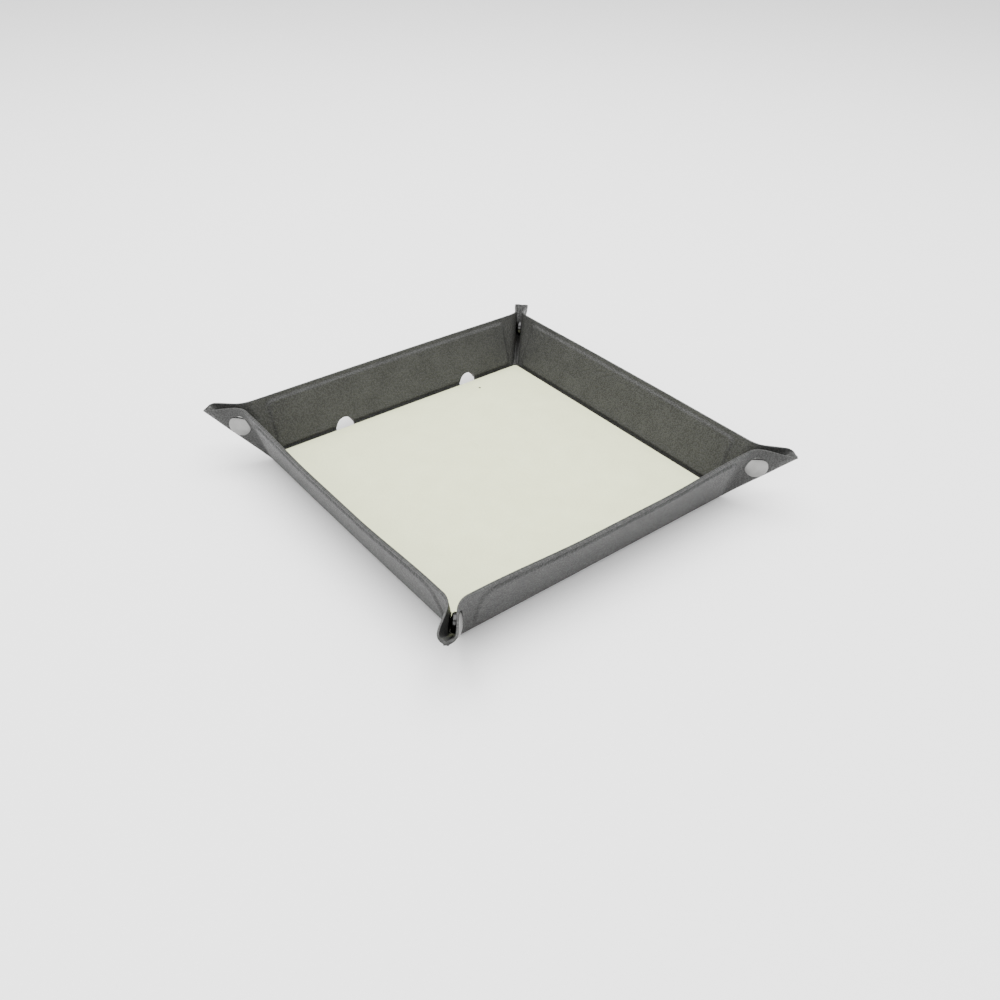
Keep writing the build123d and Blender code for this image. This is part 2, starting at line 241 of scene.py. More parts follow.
def folded(name, mesh, place, turn=0, mirrored=False):
    """The flat mesh folded into its place in the tray. Its place when flat stays as its UV map."""
    count = len(mesh.vertices)
    flat = np.zeros(count * 3)
    mesh.vertices.foreach_get("co", flat)
    x, s, h = flat.reshape(-1, 3).T
    step = 0.02 * mm
    over = place(x + step, s) - place(x - step, s)
    out = place(x, s + step) - place(x, s - step)
    normal = np.cross(over, out)
    normal /= np.linalg.norm(normal, axis=-1, keepdims=True)
    points = place(x, s) + h[:, None] * normal
    on_sheet = np.stack([x, fold + s], axis=-1)
    if mirrored:
        points[:, 0] *= -1
        on_sheet[:, 0] *= -1
    angle = math.radians(turn)
    quarter = np.array([[math.cos(angle), -math.sin(angle)], [math.sin(angle), math.cos(angle)]])
    points[:, :2] = points[:, :2] @ quarter.T
    on_sheet = on_sheet @ quarter.T
    mesh = mesh.copy()
    mesh.name = name
    mesh.vertices.foreach_set("co", points.ravel())
    if mirrored:
        mesh.flip_normals()
    corners = np.zeros(len(mesh.loops), dtype=np.int32)
    mesh.loops.foreach_get("vertex_index", corners)
    lay_flat = mesh.uv_layers.get("flat") or mesh.uv_layers.new(name="flat")
    lay_flat.data.foreach_set("uv", on_sheet[corners].ravel())
    return smooth_piece(name, mesh)


def grain_group():
    """Pebbled grain: rounded cells with fine wrinkles over them, by the piece's place when flat."""
    group = bpy.data.node_groups.new("pebble_grain", "ShaderNodeTree")
    for socket in ("Cell", "Wrinkle"):
        group.interface.new_socket(socket, in_out="INPUT", socket_type="NodeSocketFloat")
    group.interface.new_socket("Height", in_out="OUTPUT", socket_type="NodeSocketFloat")
    group.interface.new_socket("Tone", in_out="OUTPUT", socket_type="NodeSocketFloat")
    nodes, links = group.nodes, group.links
    given = nodes.new("NodeGroupInput")
    result = nodes.new("NodeGroupOutput")
    place = nodes.new("ShaderNodeUVMap")
    place.uv_map = "flat"
    cells = nodes.new("ShaderNodeTexVoronoi")
    cells.feature = "SMOOTH_F1"
    cells.inputs["Smoothness"].default_value = 0.55
    cells.inputs["Randomness"].default_value = 0.9
    wrinkles = nodes.new("ShaderNodeTexNoise")
    wrinkles.inputs["Detail"].default_value = 4
    wide = nodes.new("ShaderNodeTexNoise")
    wide.inputs["Scale"].default_value = 70
    wide.inputs["Detail"].default_value = 3
    for pattern in (cells, wrinkles, wide):
        links.new(place.outputs["UV"], pattern.inputs["Vector"])
    links.new(given.outputs["Cell"], cells.inputs["Scale"])
    finer = nodes.new("ShaderNodeMath")
    finer.operation = "MULTIPLY"
    finer.inputs[1].default_value = 1.7
    links.new(given.outputs["Cell"], finer.inputs[0])
    links.new(finer.outputs[0], wrinkles.inputs["Scale"])
    domes = nodes.new("ShaderNodeMapRange")
    domes.inputs["From Min"].default_value = 0.15
    domes.inputs["From Max"].default_value = 0.75
    domes.inputs["To Min"].default_value = 1
    domes.inputs["To Max"].default_value = 0
    domes.interpolation_type = "SMOOTHERSTEP"
    links.new(cells.outputs["Distance"], domes.inputs["Value"])
    both = nodes.new("ShaderNodeMix")
    links.new(given.outputs["Wrinkle"], both.inputs["Factor"])
    links.new(domes.outputs[0], both.inputs["A"])
    links.new(wrinkles.outputs["Fac"], both.inputs["B"])
    links.new(both.outputs["Result"], result.inputs["Height"])
    tone = nodes.new("ShaderNodeMath")
    tone.operation = "MULTIPLY_ADD"
    tone.inputs[1].default_value = 0.5
    links.new(wide.outputs["Fac"], tone.inputs[0])
    share = nodes.new("ShaderNodeMath")
    share.operation = "MULTIPLY"
    share.inputs[1].default_value = 0.5
    links.new(both.outputs["Result"], share.inputs[0])
    links.new(share.outputs[0], tone.inputs[2])
    links.new(tone.outputs[0], result.inputs["Tone"])
    return group


pebble_grain = grain_group()


def coloured(material, pattern, dark, light):
    """Colours a material from dark to light by the value of a pattern."""
    nodes, links = material.node_tree.nodes, material.node_tree.links
    colour = nodes.new("ShaderNodeMix")
    colour.data_type = "RGBA"
    colour.inputs["A"].default_value = (*dark, 1)
    colour.inputs["B"].default_value = (*light, 1)
    links.new(pattern, colour.inputs["Factor"])
    links.new(colour.outputs["Result"], nodes["Principled BSDF"].inputs["Base Color"])


def glossed(material, pattern, rough_low, rough_high):
    """Takes a material's roughness from one value to another by the value of a pattern."""
    nodes, links = material.node_tree.nodes, material.node_tree.links
    gloss = nodes.new("ShaderNodeMapRange")
    gloss.inputs["To Min"].default_value = rough_low
    gloss.inputs["To Max"].default_value = rough_high
    links.new(pattern, gloss.inputs["Value"])
    links.new(gloss.outputs[0], nodes["Principled BSDF"].inputs["Roughness"])


def embossed(material, pattern, depth):
    """Gives a material a relief of that depth by the value of a pattern."""
    nodes, links = material.node_tree.nodes, material.node_tree.links
    relief = nodes.new("ShaderNodeBump")
    relief.inputs["Distance"].default_value = depth
    links.new(pattern, relief.inputs["Height"])
    links.new(relief.outputs[0], nodes["Principled BSDF"].inputs["Normal"])


def grained_leather(name, dark, light, cell, wrinkle, depth, roughness, specular):
    """Leather with the pebbled grain in its relief, its colour and its gloss."""
    material = bpy.data.materials.new(name)
    material.use_nodes = True
    nodes = material.node_tree.nodes
    nodes["Principled BSDF"].inputs["Specular IOR Level"].default_value = specular
    grain = nodes.new("ShaderNodeGroup")
    grain.node_tree = pebble_grain
    grain.inputs["Cell"].default_value = cell
    grain.inputs["Wrinkle"].default_value = wrinkle
    coloured(material, grain.outputs["Tone"], dark, light)
    glossed(material, grain.outputs["Height"], roughness + 0.12, roughness - 0.06)
    embossed(material, grain.outputs["Height"], depth)
    return material


grey_leather = grained_leather(
    "grey_leather", (0.0125, 0.0125, 0.012), (0.062, 0.0625, 0.0605), 1350, 0.25, 0.0003, 0.5, 0.36
)
dyed_edge = grained_leather(
    "dyed_leather_edge", (0.07, 0.07, 0.067), (0.2, 0.2, 0.19), 3500, 0.8, 0.00006, 0.6, 0.4
)
glued_seam = grained_leather(
    "glued_leather_seam", (0.01, 0.01, 0.01), (0.03, 0.03, 0.028), 3500, 0.8, 0.00006, 0.8, 0.2
)


def in_leather(piece, nodes, edge=dyed_edge):
    """Gives a piece its grey leather and the finishes of its edges, and hides the plain solids it stands
    for.
    """
    piece.data.materials.clear()
    for material in (grey_leather, edge, glued_seam):
        piece.data.materials.append(material)
    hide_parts(*nodes)


def wall_sheet(punch_at=()):
    """The back wall's leather, drawn flat, from just inside the fold to the rim."""
    s_rows = steps(
        -fold_reach,
        wall_slant,
        1.6 * mm,
        places=(0, board_low, board_high),
        near=3.2 * mm,
        fine=0.5 * mm,
    )
    share = steps(-1, 1, 0.018, places=(-0.955, 0.955), near=0.045, fine=0.0045)
    edge = cut_edge(2)
    bulge, drop = ply * np.array(edge).T
    s_in = np.concatenate([s_rows[:-1], wall_slant + bulge, s_rows[:-1][::-1]])
    s = np.tile(s_in, (len(share), 1))
    x = share[:, None] * seam_x(s)
    rows = len(s_rows) - 1
    h = np.empty_like(s)
    h[:, :rows] = over_board(x[:, :rows], s[:, :rows], "inner")
    h[:, rows:-rows] = drop
    h[:, -rows:] = -over_board(x[:, -rows:], s[:, -rows:], "outer")
    edge_rows = {rows + k: 2 if k == len(edge) // 2 - 1 else 1 for k in range(len(edge) - 1)}
    mesh = flat_leather("wall_leather", x, s, h, edge_rows)
    return punched(mesh, punch_at, hole_radius) if punch_at else mesh


cable_hole_x = -41 * mm
charger_hole_x = sum(corner.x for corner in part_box("charger_case")) / 2
holes = [(cable_hole_x, hole_above_fold), (charger_hole_x, hole_above_fold)]
plain_wall = wall_sheet()
for wall, turn in walls.items():
    mesh = wall_sheet(holes) if wall == "back" else plain_wall
    bowed = functools.partial(stand_up, bow=wall_bow[wall])
    leather = folded(f"{wall}_wall_leather", mesh, bowed, turn)
    in_leather(leather, (f"{wall}_wall_cover", f"{wall}_wall_lining"))
    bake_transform(leather)


# ---- Boards in the walls: four stiffeners -------------------------------------
# Each wall is stiffened by a panel of pressed fibre board, die-cut with rounded
# corners and glued between its two leathers, which draw it into a slight bow.
# The back one is cut away round the two cable holes.
panel_top = 31.6 * mm
panel_half = 0.5 * mm
panel_corner = 3 * mm


def round_corners(x, y, ends, sides):
    """A square grid drawn in round four corners, and how far each point is outside their centres."""
    cx, cy = np.clip(x, *ends), np.clip(y, *sides)
    reach = np.hypot(x - cx, y - cy)
    longest = np.maximum(np.abs(x - cx), np.abs(y - cy))
    share = np.where(reach > 0, longest / np.maximum(reach, 1e-9), 1)
    x, y = cx + (x - cx) * share, cy + (y - cy) * share
    return x, y, np.hypot(x - cx, y - cy)


def panel():
    """The back wall's board, drawn flat: rows of points up one face and down the other."""
    near, fine = 3.2 * mm, 0.3 * mm
    x_rows = steps(-board_end, board_end, 3 * mm, (-board_end, board_end), near, fine)
    s_rows = steps(board_low, panel_top, 1.5 * mm, (board_low, panel_top), near, fine)
    x, s = np.meshgrid(x_rows, np.concatenate([s_rows, s_rows[::-1]]), indexing="ij")
    end = board_end - panel_corner
    low, high = board_low + panel_corner, panel_top - panel_corner
    x, s, _ = round_corners(x, s, (-end, end), (low, high))
    inner_face = np.arange(s.shape[1])[None] < len(s_rows)
    return flat_leather("wall_board", x, s, np.where(inner_face, panel_half, -panel_half) + 0 * x)


def fibre_board_material(name, dark, light):
    """Pressed fibres, darker between them."""
    material = bpy.data.materials.new(name)
    material.use_nodes = True
    nodes, links = material.node_tree.nodes, material.node_tree.links
    surface = nodes["Principled BSDF"]
    place = nodes.new("ShaderNodeTexCoord")
    long_fibres = nodes.new("ShaderNodeMapping")
    long_fibres.inputs["Scale"].default_value = (1, 5, 3)
    fibres = nodes.new("ShaderNodeTexNoise")
    fibres.inputs["Scale"].default_value = 450
    fibres.inputs["Detail"].default_value = 6
    fibres.inputs["Distortion"].default_value = 1.2
    links.new(place.outputs["Object"], long_fibres.inputs["Vector"])
    links.new(long_fibres.outputs[0], fibres.inputs["Vector"])
    colour = nodes.new("ShaderNodeValToRGB")
    colour.color_ramp.elements[0].position = 0.3
    colour.color_ramp.elements[0].color = (*dark, 1)
    colour.color_ramp.elements[1].position = 0.7
    colour.color_ramp.elements[1].color = (*light, 1)
    links.new(fibres.outputs["Fac"], colour.inputs["Fac"])
    links.new(colour.outputs["Color"], surface.inputs["Base Color"])
    surface.inputs["Roughness"].default_value = 0.9
    surface.inputs["Specular IOR Level"].default_value = 0.2
    embossed(material, fibres.outputs["Fac"], 0.00005)
    return material


fibre_board = fibre_board_material("pressed_fibre_board", (0.09, 0.07, 0.05), (0.27, 0.22, 0.16))
panel_mesh = panel()
for wall, turn in walls.items():
    mesh = punched(panel_mesh, holes, hole_radius) if wall == "back" else panel_mesh
    bowed = functools.partial(stand_up, bow=wall_bow[wall])
    board = folded(f"{wall}_wall_board", mesh, bowed, turn)
    board.data.materials.clear()
    board.data.materials.append(fibre_board)
    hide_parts(f"{wall}_wall_stiffener")
    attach(board, f"{wall}_wall")


# ---- Leather of the pinched corners: eight layers ----------------------------
# The same sheet runs on past each wall's crease, skived to a single thickness,
# and turns outwards into one of the two layers that the corner's snap holds.
# The two stand a few millimetres apart and flare towards the rounded tip.
layer_half = 0.5 * mm
tip_radius = 10 * mm
turn_depth = 1.08               # of the bottom turn, as a share of half its width
turn_rise = 0.42                # and how far the turn lifts the bottom of the loop
seam_above_turn = 1.6 * mm
lap = 1.6 * mm                  # of each layer, inside the loop
turn_allowance = 2.5 * mm
sheet_past_keel = math.pi * layer_offset / 2 - turn_allowance
corner_gap = 0.8                # at the base corner, as a share of the layers' offset
gap_opens = 18 * mm             # from the corner, where the layers reach their full offset
tip_flare = 1.9 * mm
flare_start, flare_length = 28 * mm, 15 * mm
flare_low = 4.5 * mm            # the flare is full up to this height above the keel
flare_fade = 15 * mm            # and gone this far above it
above_cup = 2.0 * mm            # where the layer starts, at the crease
past_corner = 1.7 * mm          # and where it starts on the diagonal
corner_point = np.array([fold, fold, fold_height])
away = np.array([-1, 1, 0]) / math.sqrt(2)
out_and_up = np.array([math.cos(keel_angle) / math.sqrt(2)] * 2 + [math.sin(keel_angle)])
above_keel = np.array([-math.sin(keel_angle) / math.sqrt(2)] * 2 + [math.cos(keel_angle)])


def half_gap(along, above):
    """Half the distance between the middles of the two layers, where they are open."""
    radial = np.hypot(along, above)
    base = layer_offset * (corner_gap + (1 - corner_gap) * smooth(radial / gap_opens))
    near_tip = smooth((radial - flare_start) / flare_length)
    low = 1 - smooth((above - flare_low) / flare_fade)
    return base + tip_flare * near_tip * low


def from_crease(x, s):
    """How far a point of the flat sheet lies beside the wall's crease, and how far up it."""
    return (x - crease_start) * upright - s * lean, (x - crease_start) * lean + s * upright


def pinch_out(x, s):
    """The middle of the corner layer at the back wall's +X end."""
    beside, up_crease = from_crease(x, s)
    share = np.clip(up_crease / crease_length, 0, 1)
    reach = crease_reach[0] + (crease_reach[1] - crease_reach[0]) * share
    along, back = bend(beside, reach, pinch_angle)
    flat_s = up_crease * upright - along * lean
    point = np.stack(
        [
            crease_start + up_crease * lean + along * upright,
            fold + flat_s * math.cos(wall_angle) + back * math.sin(wall_angle),
            fold_height + flat_s * math.sin(wall_angle) - back * math.cos(wall_angle),
        ],
        axis=-1,
    )
    from_corner = point - corner_point
    open_gap = half_gap(from_corner @ out_and_up, from_corner @ above_keel)
    above = from_corner @ above_keel - turn_rise * open_gap
    closing = np.clip(1 - above / (turn_depth * open_gap), 0, 1)
    gap = open_gap * np.sqrt(np.maximum(1 - closing * closing, 0.01))
    lapped = 2.1 * layer_half * smooth((seam_above_turn - above) / (0.6 * mm))
    shift = (gap - lapped - layer_offset) * smooth((beside + reach) / (2 * reach))
    return point + shift[..., None] * away


def corner_sheet():
    """One corner layer, drawn flat beside the back wall's +X end."""
    share = np.concatenate(
        [np.linspace(0, 0.55, 26), np.linspace(0.57, 0.9, 14), np.linspace(0.91, 1, 12)]
    )
    beside_diagonal = seam_above_turn - lap + sheet_past_keel + turn_rise * layer_offset
    low_start = np.array([seam_x(above_cup), above_cup])
    low_end = np.array([fold + past_corner, past_corner])
    low_end += np.array([-1, 1]) / math.sqrt(2) * beside_diagonal
    centre = np.array([fold + wall_slant - tip_radius, wall_slant - tip_radius])
    rim_start = seam_x(wall_slant)
    tip_turn = math.pi / 4 + math.asin(beside_diagonal / tip_radius)
    straight = centre[0] - rim_start
    arc = tip_radius * (math.pi / 2 - tip_turn)
    travelled = share * (straight + arc)
    turned = math.pi / 2 - np.maximum(travelled - straight, 0) / tip_radius
    rim = centre + tip_radius * np.stack([np.cos(turned), np.sin(turned)], axis=-1)
    rim[:, 0] += np.minimum(travelled, straight) - straight
    outwards = np.stack([np.cos(turned), np.sin(turned)], axis=-1)
    low = low_start + share[:, None] * (low_end - low_start)
    rise = np.linspace(0, 1, 34)
    edge = np.array(cut_edge(1))
    rows = len(rise)
    inner = low[:, None] + rise[None, :, None] * (rim - low)[:, None]
    over = rim[:, None] + 2 * edge[None, 1:-1, 0, None] * layer_half * outwards[:, None]
    flat = np.concatenate([inner, over, inner[:, ::-1]], axis=1)
    beside, up_crease = from_crease(flat[..., 0], flat[..., 1])
    reach = crease_reach[0] + (crease_reach[1] - crease_reach[0]) * up_crease / crease_length
    skived = smooth((beside + reach + seam_margin) / (2 * reach))
    half = ply + (layer_half - ply) * skived
    side = np.concatenate([np.ones(rows), edge[1:-1, 1], -np.ones(rows)])
    edge_rows = dict.fromkeys(range(rows - 1, rows + len(edge) - 2), 1)
    return flat_leather("corner_leather", flat[..., 0], flat[..., 1], half * side, edge_rows)


# Painted shade: the cut edges of the corner layers and keels are coloured near black, much darker than
# the walls' dyed rims. This makes the loops at the corner tips, which lie in shade, come out black.
corner_edge_shade = grained_leather(
    "painted_leather_edge", (0.002, 0.002, 0.002), (0.006, 0.006, 0.006), 3500, 0.8, 0.00005, 0.6, 0.12
)
layer = corner_sheet()
for wall, turn in walls.items():
    for end in "ab":
        piece = folded(f"{wall}_fin_{end}_leather", layer, pinch_out, turn, end == "a")
        in_leather(piece, (f"{wall}_fin_{end}",), corner_edge_shade)
        hinge = joints[f"{wall}_fin_{end}_fold"]
        point, crease = Vector(hinge["pos_m"]), Vector(hinge["axis"])
        along_wall = Matrix.Rotation(math.radians(turn), 3, "Z") @ Vector(
            (1 if end == "b" else -1, 0, 0)
        )
        across = (along_wall - along_wall.dot(crease) * crease).normalized()
        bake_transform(piece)


# ---- Leather under the pinched corners: four keels --------------------------
# The sheet turns round underneath from one layer to the other, in a loop that is
# wider at the open tip.
keel_end = (wall_slant - tip_radius) * math.sqrt(2) + tip_radius
keel_overlap = 0.2 * mm         # past the height at which the layers take over
keel_ply = 1.06                 # its thickness, as a share of a layer's
loop_closed = 0.35              # at the base corner, and the length over which it opens
loop_opens = 9 * mm
corners = {"back_right": 0, "back_left": 90, "front_left": 180, "front_right": 270}


def keel_sheet():
    """The back right keel, in its place: a channel from one layer's edge to the other's."""
    share = np.linspace(0, 1, 40)
    across = np.linspace(-1, 1, 29)
    top = seam_above_turn + keel_overlap

    def middle(part, turned):
        length = keel_end * part
        open_gap = half_gap(length, 0 * length) * smooth(loop_closed + length / loop_opens)
        depth = turn_depth * open_gap
        angle = turned * np.arccos(np.clip(1 - top / depth, -1, 1))
        above = depth * (1 - np.cos(angle)) + turn_rise * open_gap
        length = length - part**8 * (above + sheet_past_keel) ** 2 / (2 * tip_radius)
        return (
            corner_point
            + length[..., None] * out_and_up
            + above[..., None] * above_keel
            + (open_gap * np.sin(angle))[..., None] * away
        )

    edge = cut_edge(1)[1:-1]
    part = np.concatenate([share, np.ones(len(edge)), share[::-1]])
    bulge = np.concatenate([0 * share, [2 * e[0] for e in edge], 0 * share])
    side = np.concatenate([0 * share + 1, [e[1] for e in edge], 0 * share - 1])
    part, turned = np.meshgrid(part, across)
    step = 0.002
    down = middle(part + step, turned) - middle(part - step, turned)
    over = middle(part, turned + step) - middle(part, turned - step)
    normal = np.cross(down, over)
    normal /= np.linalg.norm(normal, axis=-1, keepdims=True)
    half = layer_half * keel_ply
    points = middle(part, turned) + normal * (half * side)[..., None]
    points += out_and_up * (half * bulge)[:, None]
    rows = len(share)
    edge_rows = dict.fromkeys(range(rows - 1, rows + len(edge)), 1)
    return flat_leather("keel_leather", *np.moveaxis(points, -1, 0), edge_rows)


keel_mesh = keel_sheet()


def set_in_place(name, mesh, turn):
    """A mesh drawn at the back right corner, turned to its own. Its UV map is its plan."""
    mesh = mesh.copy()
    mesh.name = name
    mesh.transform(Matrix.Rotation(math.radians(turn), 4, "Z"))
    lay_flat = mesh.uv_layers.get("flat") or mesh.uv_layers.new(name="flat")
    for loop in mesh.loops:
        point = mesh.vertices[loop.vertex_index].co
        lay_flat.data[loop.index].uv = (point.x, point.y)
    return smooth_piece(name, mesh)


for corner, turn in corners.items():
    keel = set_in_place(f"{corner}_keel_leather", keel_mesh, turn)
    # The keel's cut edge takes the same near-black painted shade as the corner layers' edges.
    in_leather(keel, (f"{corner}_keel",), corner_edge_shade)
    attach(keel, f"{corner}_keel")
    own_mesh(keel)


# ---- Leather under the floor: base and its four corners ----------------------
# The same sheet lies flat under the charging pad, pressed down round its board
# so that it has the same outline as the walls. At each corner a small rounded
# cup of leather is left between the two folds.
base_edge = fold - fold_reach
base_step = fold_height - ply
base_slope = 2.5 * mm           # from the edge, over which the leather comes down to the desk
base_groove = 2.6 * mm          # from the edge to the middle of the pressed outline


def base_sheet():
    """The base leather, lying on the desk, drawn from its -X edge to its +X edge."""
    rows = steps(-base_edge, base_edge, 5 * mm, (-base_edge, base_edge), 4 * mm, 0.5 * mm)
    y = np.concatenate([rows, rows[::-1]])
    x, y = np.meshgrid(rows, y, indexing="ij")
    inside = base_edge - np.maximum(np.abs(x), np.abs(y))
    under = base_step * (1 - smooth(inside / base_slope))
    groove = groove_depth * np.exp(-((inside - base_groove) / groove_width) ** 2)
    lower = under + groove
    upper = under + ply
    height = np.where(np.arange(y.shape[1])[None] < len(rows), upper, lower)
    mesh = flat_leather("base_leather", x, y, height)
    return punched(mesh, [(hx, fold + s) for hx, s in holes], hole_radius)


base = set_in_place("base_leather", base_sheet(), 0)
in_leather(base, ("base_cover",))
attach(base, "base")

cup_start = seam_x(0) - 0.5 * mm
cup_radius = 2.5 * mm
cup_height = 2.8 * mm


def corner_cup():
    """The fold carried round the back right corner of the base, low enough to clear the layers."""
    s_rows = steps(-fold_reach, cup_height, 0.4 * mm)
    edge = ply * np.array(cut_edge(2)[1:-1])
    s = np.concatenate([s_rows, cup_height + edge[:, 0], s_rows[::-1]])
    h = np.concatenate([0 * s_rows + ply, edge[:, 1], 0 * s_rows - ply])
    profile_s = np.tile(s, (2, 1))
    section = stand_up(0 * profile_s + cup_start, profile_s)[0]
    step = 0.02 * mm
    slope = stand_up(0 * s + cup_start, s + step) - stand_up(0 * s + cup_start, s - step)
    slope /= np.linalg.norm(slope, axis=-1, keepdims=True)
    section[:, 1] -= h * slope[:, 2]
    section[:, 2] += h * slope[:, 1]
    centre = fold - cup_radius
    rings = []
    for x in np.linspace(cup_start, centre, 4)[:-1]:
        rings.append(np.stack([0 * s + x, section[:, 1], section[:, 2]], axis=-1))
    reach = np.maximum(section[:, 1] - centre, 0)
    for turned in np.linspace(0, math.pi / 2, 13):
        x, y = centre + reach * math.sin(turned), centre + reach * math.cos(turned)
        rings.append(np.stack([x, y, section[:, 2]], axis=-1))
    for y in np.linspace(centre, cup_start, 4)[1:]:
        rings.append(np.stack([section[:, 1], 0 * s + y, section[:, 2]], axis=-1))
    return flat_leather("corner_cup", *np.moveaxis(np.array(rings), -1, 0))


cup_mesh = corner_cup()
for corner, turn in corners.items():
    cup = set_in_place(f"{corner}_base_corner", cup_mesh, turn)
    cup.data.materials.clear()
    cup.data.materials.append(grey_leather)
    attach(cup, "base")
    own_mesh(cup)


# ---- Corner snaps: caps, sockets, studs and eyelets --------------------------
# Pressed steel snaps with a dark polished plating. A hollow domed cap is riveted
# through one layer into a spring socket, and a stud is held by an eyelet through
# the other. Each part is turned about the snap's centre line.
layer_face = layer_offset + layer_half
inner_face = layer_offset - layer_half


def speckle(material, scale, detail):
    """Noise of that scale and detail over the piece's own place."""
    nodes, links = material.node_tree.nodes, material.node_tree.links
    noise = nodes.new("ShaderNodeTexNoise")
    noise.inputs["Scale"].default_value = scale
    noise.inputs["Detail"].default_value = detail
    links.new(nodes.new("ShaderNodeTexCoord").outputs["Object"], noise.inputs["Vector"])
    return noise.outputs["Fac"]


def plating(name, dark, light):
    """Dark polished nickel with faint wipe marks and duller patches."""
    material = bpy.data.materials.new(name)
    material.use_nodes = True
    material.node_tree.nodes["Principled BSDF"].inputs["Metallic"].default_value = 1
    wipes = speckle(material, 260, 5)
    marks = speckle(material, 2600, 2)
    coloured(material, wipes, dark, light)
    glossed(material, wipes, 0.06, 0.2)
    embossed(material, marks, 0.000002)
    return material


polished_gunmetal = plating("polished_gunmetal", (0.16, 0.16, 0.155), (0.24, 0.24, 0.235))
blackened_steel = plating("blackened_steel", (0.02, 0.02, 0.02), (0.04, 0.04, 0.04))


def turned_part(name, profile, centre, axis, finish, around=64):
    """A turned metal part; its profile holds (radius, height) pairs round its section, in mm."""
    shape = bmesh.new()
    side = axis.orthogonal().normalized()
    other = axis.cross(side)
    rings = []
    for radius, height in profile:
        middle = centre + axis * height * mm
        if radius == 0:
            rings.append([shape.verts.new(middle)])
            continue
        ring = []
        for k in range(around):
            angle = 2 * math.pi * k / around
            spoke = side * math.cos(angle) + other * math.sin(angle)
            ring.append(shape.verts.new(middle + spoke * radius * mm))
        rings.append(ring)
    pairs = list(zip(rings, rings[1:]))
    if profile[0][0] > 0:
        pairs.append((rings[-1], rings[0]))
    for first, second in pairs:
        for k in range(around):
            n = (k + 1) % around
            around_face = [first[k % len(first)], first[n % len(first)]]
            around_face += [second[n % len(second)], second[k % len(second)]]
            unique = list(dict.fromkeys(around_face))
            if len(unique) > 2:
                shape.faces.new(unique)
    bmesh.ops.recalc_face_normals(shape, faces=shape.faces)
    mesh = bpy.data.meshes.new(name)
    shape.to_mesh(mesh)
    shape.free()
    piece = smooth_piece(name, mesh, sharp=50)
    piece.data.materials.append(finish)
    return piece


def rounded(points, count=5):
    """A smooth run through a few (radius, height) points, by Catmull and Rom's rule."""
    points = [np.array(p, dtype=float) for p in points]
    ends = [2 * points[0] - points[1], *points, 2 * points[-1] - points[-2]]
    run = []
    for a, b, c, d in zip(ends, ends[1:], ends[2:], ends[3:]):
        for k in range(count):
            t = k / count
            run.append(
                0.5 * (2 * b + (c - a) * t + (2 * a - 5 * b + 4 * c - d) * t**2
                       + (3 * b - a - 3 * c + d) * t**3)
            )
    run.append(points[-1])
    return [(max(0.0, float(r)), float(h)) for r, h in run]


def from_level(level, points):
    """(radius, height) points whose heights are measured from a level of the snap."""
    return [(radius, level + height) for radius, height in points]


# levels in mm from the corner's upright plane, towards the cap
cap_level, socket_level = layer_face / mm, inner_face / mm
cap_dome = [
    (1.2, 1.37), (2.6, 1.25), (3.9, 1.03), (5.0, 0.76), (5.8, 0.5), (6.2, 0.3), (6.22, 0.12), (5.9, 0.01)
]
cap_rivet = [(1.5, -0.5), (2.0, -0.55), (1.9, -0.75), (1.2, -0.8), (0, -0.8)]
cap_profile = from_level(cap_level, [(0, 1.4)]) + rounded(from_level(cap_level, cap_dome))
cap_profile += from_level(cap_level, [(1.5, 0.01)]) + from_level(socket_level, cap_rivet)
socket = [
    (1.55, 0), (4.5, 0), (4.8, -0.25), (4.75, -1.7), (4.3, -2.3),
    (3.5, -2.4), (3.0, -2.15), (2.9, -1.2), (3.0, -0.55), (1.6, -0.5),
]
socket_profile = rounded(from_level(socket_level, socket), 4)
stud = [
    (1.1, 0), (4.3, 0), (4.5, 0.2), (4.3, 0.4), (2.2, 0.42), (1.8, 0.6),
    (1.85, 1.0), (2.1, 1.3), (2.05, 1.75), (1.6, 2.05), (1.15, 1.9),
]
stud_profile = rounded(from_level(-socket_level, stud), 4)
eyelet_flange = [
    (0.5, -0.35), (1.1, -0.58), (2.6, -0.6), (3.9, -0.42), (4.3, -0.12), (4.1, 0), (1.15, 0)
]
eyelet_barrel = [(1.08, 0.6), (1.08, 1.7), (0.6, 1.75), (0.5, 0.6)]
eyelet_profile = rounded(
    from_level(-cap_level, eyelet_flange) + from_level(-socket_level, eyelet_barrel), 4
)
cap_sides = {
    "back_right": ("right", "a", "back", "b", -1),
    "back_left": ("left", "b", "back", "a", 1),
    "front_left": ("front", "b", "left", "a", 1),
    "front_right": ("front", "a", "right", "b", -1),
}
for corner, (cap_wall, cap_end, stud_wall, stud_end, side) in cap_sides.items():
    across = Matrix.Rotation(math.radians(corners[corner]), 3, "Z") @ Vector(away) * side
    low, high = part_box(f"{corner}_snap_cap")
    centre = (low + high) / 2
    centre -= across * centre.dot(across)
    cap_fin, stud_fin = f"{cap_wall}_fin_{cap_end}", f"{stud_wall}_fin_{stud_end}"
    for part, profile, body, finish in (
        ("cap", cap_profile, cap_fin, polished_gunmetal),
        ("socket", socket_profile, cap_fin, blackened_steel),
        ("stud", stud_profile, stud_fin, blackened_steel),
        ("back", eyelet_profile, stud_fin, polished_gunmetal),
    ):
        piece = turned_part(f"{corner}_snap_{part}_plated", profile, centre, across, finish)
        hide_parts(f"{corner}_snap_{part}")
        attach(piece, body)


# ---- Core board of the floor --------------------------------------------------
# A sheet of fibre board, dyed black so that its edges don't show, fills the floor
# between the four folds. A window cut in its right side takes the charger, and it
# is glued to the base leather.
def given_to(node, material):
    """A part made as drawn keeps its shape and takes its real finish."""
    part = frame["nodes"][node]
    part.data.materials.clear()
    part.data.materials.append(material)


black_board = fibre_board_material("black_fibre_board", (0.006, 0.006, 0.006), (0.022, 0.022, 0.021))
given_to("pad_core", black_board)


